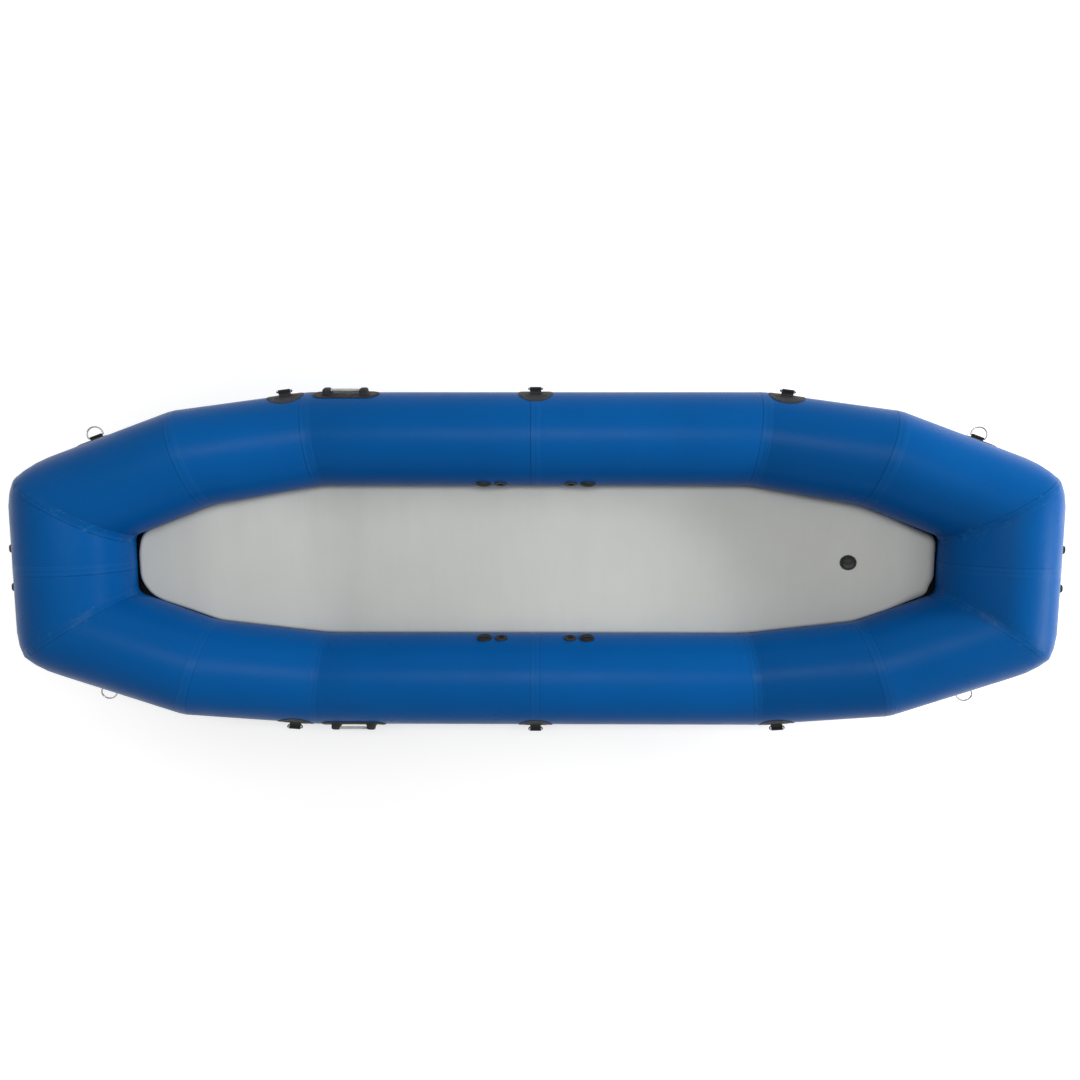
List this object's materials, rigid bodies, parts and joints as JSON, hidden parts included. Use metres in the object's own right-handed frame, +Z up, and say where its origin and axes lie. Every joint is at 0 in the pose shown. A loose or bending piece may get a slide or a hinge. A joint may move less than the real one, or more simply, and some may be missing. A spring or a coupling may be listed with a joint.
{
  "type": "whitewater raft",
  "caption": "Inflatable river raft: a closed ring of blue air tubes with raised ends round a grey drop-stitch floor, with D-rings, carry handles and air valves.",
  "frame": {"origin": "on the ground, under the middle of the raft", "axes": "+X towards the bow, +Y to port, +Z up"},
  "size_m": [4.2556, 1.5198, 0.6351],
  "materials": {
    "tube_blue": "PVC-coated cloth, satin with a soft sheen",
    "floor_grey": "PVC-coated drop-stitch cloth with a fine diagonal grain",
    "black_rubber": "matt black patches, webbing and moulded handles",
    "black_cloth": "matt black coated cloth",
    "valve_black": "moulded black plastic",
    "steel": "polished stainless wire"
  },
  "bodies": {
    "hull": {"side_panel_port": "tube_blue", "side_panel_starboard": "tube_blue", "bow_shoulder_panel_port": "tube_blue", "bow_shoulder_panel_starboard": "tube_blue", "bow_quarter_panel_port": "tube_blue", "bow_quarter_panel_starboard": "tube_blue", "bow_end_panel": "tube_blue", "stern_shoulder_panel_port": "tube_blue", "stern_shoulder_panel_starboard": "tube_blue", "stern_quarter_panel_port": "tube_blue", "stern_quarter_panel_starboard": "tube_blue", "stern_end_panel": "tube_blue", "baffle_port": "black_cloth", "baffle_starboard": "black_cloth", "baffle_bow": "black_cloth", "baffle_stern": "black_cloth", "drop_stitch_floor": "floor_grey", "bottom_sheet": "black_cloth", "floor_valve_body": "valve_black", "inflation_valve_body_bow_port": "valve_black", "inflation_valve_body_bow_starboard": "valve_black", "inflation_valve_body_stern_port": "valve_black", "inflation_valve_body_stern_starboard": "valve_black", "relief_valve_body_bow_port": "valve_black", "relief_valve_body_bow_starboard": "valve_black", "relief_valve_body_stern_port": "valve_black", "relief_valve_body_stern_starboard": "valve_black", "ring_mount_mid_port": "black_rubber", "ring_mount_mid_starboard": "black_rubber", "ring_mount_bow_shoulder_port": "black_rubber", "ring_mount_bow_shoulder_starboard": "black_rubber", "ring_mount_bow_quarter_port": "black_rubber", "ring_mount_bow_quarter_starboard": "black_rubber", "ring_mount_stern_shoulder_port": "black_rubber", "ring_mount_stern_shoulder_starboard": "black_rubber", "ring_mount_stern_quarter_port": "black_rubber", "ring_mount_stern_quarter_starboard": "black_rubber", "carry_handle_port": "black_rubber", "carry_handle_starboard": "black_rubber", "carry_handle_bow": "black_rubber", "carry_handle_stern": "black_rubber"},
    "d_ring_mid_port": {"d_ring_mid_port": "steel"},
    "d_ring_mid_starboard": {"d_ring_mid_starboard": "steel"},
    "d_ring_bow_shoulder_port": {"d_ring_bow_shoulder_port": "steel"},
    "d_ring_bow_shoulder_starboard": {"d_ring_bow_shoulder_starboard": "steel"},
    "d_ring_bow_quarter_port": {"d_ring_bow_quarter_port": "steel"},
    "d_ring_bow_quarter_starboard": {"d_ring_bow_quarter_starboard": "steel"},
    "d_ring_stern_shoulder_port": {"d_ring_stern_shoulder_port": "steel"},
    "d_ring_stern_shoulder_starboard": {"d_ring_stern_shoulder_starboard": "steel"},
    "d_ring_stern_quarter_port": {"d_ring_stern_quarter_port": "steel"},
    "d_ring_stern_quarter_starboard": {"d_ring_stern_quarter_starboard": "steel"},
    "floor_valve_cap": {"floor_valve_cap": "valve_black"},
    "inflation_valve_cap_bow_port": {"inflation_valve_cap_bow_port": "valve_black"},
    "inflation_valve_cap_bow_starboard": {"inflation_valve_cap_bow_starboard": "valve_black"},
    "inflation_valve_cap_stern_port": {"inflation_valve_cap_stern_port": "valve_black"},
    "inflation_valve_cap_stern_starboard": {"inflation_valve_cap_stern_starboard": "valve_black"},
    "relief_valve_poppet_bow_port": {"relief_valve_poppet_bow_port": "valve_black"},
    "relief_valve_poppet_bow_starboard": {"relief_valve_poppet_bow_starboard": "valve_black"},
    "relief_valve_poppet_stern_port": {"relief_valve_poppet_stern_port": "valve_black"},
    "relief_valve_poppet_stern_starboard": {"relief_valve_poppet_stern_starboard": "valve_black"}
  },
  "joints": [
    {"name": "mid_port_ring_swing", "type": "hinge", "parent": "hull", "child": "d_ring_mid_port", "pos_m": [0, 0.74794, 0.29624], "axis": [1, 0, 0], "range_deg": [-4, 230]},
    {"name": "mid_starboard_ring_swing", "type": "hinge", "parent": "hull", "child": "d_ring_mid_starboard", "pos_m": [0, -0.74794, 0.29624], "axis": [-1, 0, 0], "range_deg": [-4, 230]},
    {"name": "bow_shoulder_port_ring_swing", "type": "hinge", "parent": "hull", "child": "d_ring_bow_shoulder_port", "pos_m": [1.06632, 0.73403, 0.31579], "axis": [0.9361, -0.19, 0.296], "range_deg": [-4, 230]},
    {"name": "bow_shoulder_starboard_ring_swing", "type": "hinge", "parent": "hull", "child": "d_ring_bow_shoulder_starboard", "pos_m": [1.06632, -0.73403, 0.31579], "axis": [-0.9361, -0.19, -0.296], "range_deg": [-4, 230]},
    {"name": "stern_shoulder_port_ring_swing", "type": "hinge", "parent": "hull", "child": "d_ring_stern_shoulder_port", "pos_m": [-1.06632, 0.73403, 0.31579], "axis": [0.9361, 0.19, -0.296], "range_deg": [-4, 230]},
    {"name": "stern_shoulder_starboard_ring_swing", "type": "hinge", "parent": "hull", "child": "d_ring_stern_shoulder_starboard", "pos_m": [-1.06632, -0.73403, 0.31579], "axis": [-0.9361, 0.19, 0.296], "range_deg": [-4, 230]},
    {"name": "bow_quarter_port_ring_swing", "type": "hinge", "parent": "hull", "child": "d_ring_bow_quarter_port", "pos_m": [1.8133, 0.53356, 0.39953], "axis": [0.9084, -0.3887, 0.1541], "range_deg": [-115, 115]},
    {"name": "bow_quarter_starboard_ring_swing", "type": "hinge", "parent": "hull", "child": "d_ring_bow_quarter_starboard", "pos_m": [1.8133, -0.53356, 0.39953], "axis": [-0.9084, -0.3887, -0.1541], "range_deg": [-115, 115]},
    {"name": "stern_quarter_port_ring_swing", "type": "hinge", "parent": "hull", "child": "d_ring_stern_quarter_port", "pos_m": [-1.8133, 0.53356, 0.39953], "axis": [0.9084, 0.3887, -0.1541], "range_deg": [-115, 115]},
    {"name": "stern_quarter_starboard_ring_swing", "type": "hinge", "parent": "hull", "child": "d_ring_stern_quarter_starboard", "pos_m": [-1.8133, -0.53356, 0.39953], "axis": [-0.9084, 0.3887, 0.1541], "range_deg": [-115, 115]},
    {"name": "floor_cap_turn", "type": "hinge", "parent": "hull", "child": "floor_valve_cap", "pos_m": [1.36949, 0, 0.27595], "axis": [-0.3015, 0, 0.9535], "range_deg": [0, 90]},
    {"name": "bow_port_cap_turn", "type": "hinge", "parent": "hull", "child": "inflation_valve_cap_bow_port", "pos_m": [0.229, 0.34192, 0.25744], "axis": [0, -0.9659, 0.2588], "range_deg": [0, 90]},
    {"name": "bow_starboard_cap_turn", "type": "hinge", "parent": "hull", "child": "inflation_valve_cap_bow_starboard", "pos_m": [0.229, -0.34192, 0.25744], "axis": [0, 0.9659, 0.2588], "range_deg": [0, 90]},
    {"name": "stern_port_cap_turn", "type": "hinge", "parent": "hull", "child": "inflation_valve_cap_stern_port", "pos_m": [-0.229, 0.34192, 0.25744], "axis": [0, -0.9659, 0.2588], "range_deg": [0, 90]},
    {"name": "stern_starboard_cap_turn", "type": "hinge", "parent": "hull", "child": "inflation_valve_cap_stern_starboard", "pos_m": [-0.229, -0.34192, 0.25744], "axis": [0, 0.9659, 0.2588], "range_deg": [0, 90]},
    {"name": "bow_port_poppet_lift", "type": "slide", "parent": "hull", "child": "relief_valve_poppet_bow_port", "axis": [0, -0.9659, 0.2588], "range_m": [0, 0.003], "stiffness_N_per_m": 300, "springref_m": -0.002},
    {"name": "bow_starboard_poppet_lift", "type": "slide", "parent": "hull", "child": "relief_valve_poppet_bow_starboard", "axis": [0, 0.9659, 0.2588], "range_m": [0, 0.003], "stiffness_N_per_m": 300, "springref_m": -0.002},
    {"name": "stern_port_poppet_lift", "type": "slide", "parent": "hull", "child": "relief_valve_poppet_stern_port", "axis": [0, -0.9659, 0.2588], "range_m": [0, 0.003], "stiffness_N_per_m": 300, "springref_m": -0.002},
    {"name": "stern_starboard_poppet_lift", "type": "slide", "parent": "hull", "child": "relief_valve_poppet_stern_starboard", "axis": [0, 0.9659, 0.2588], "range_m": [0, 0.003], "stiffness_N_per_m": 300, "springref_m": -0.002}
  ]
}
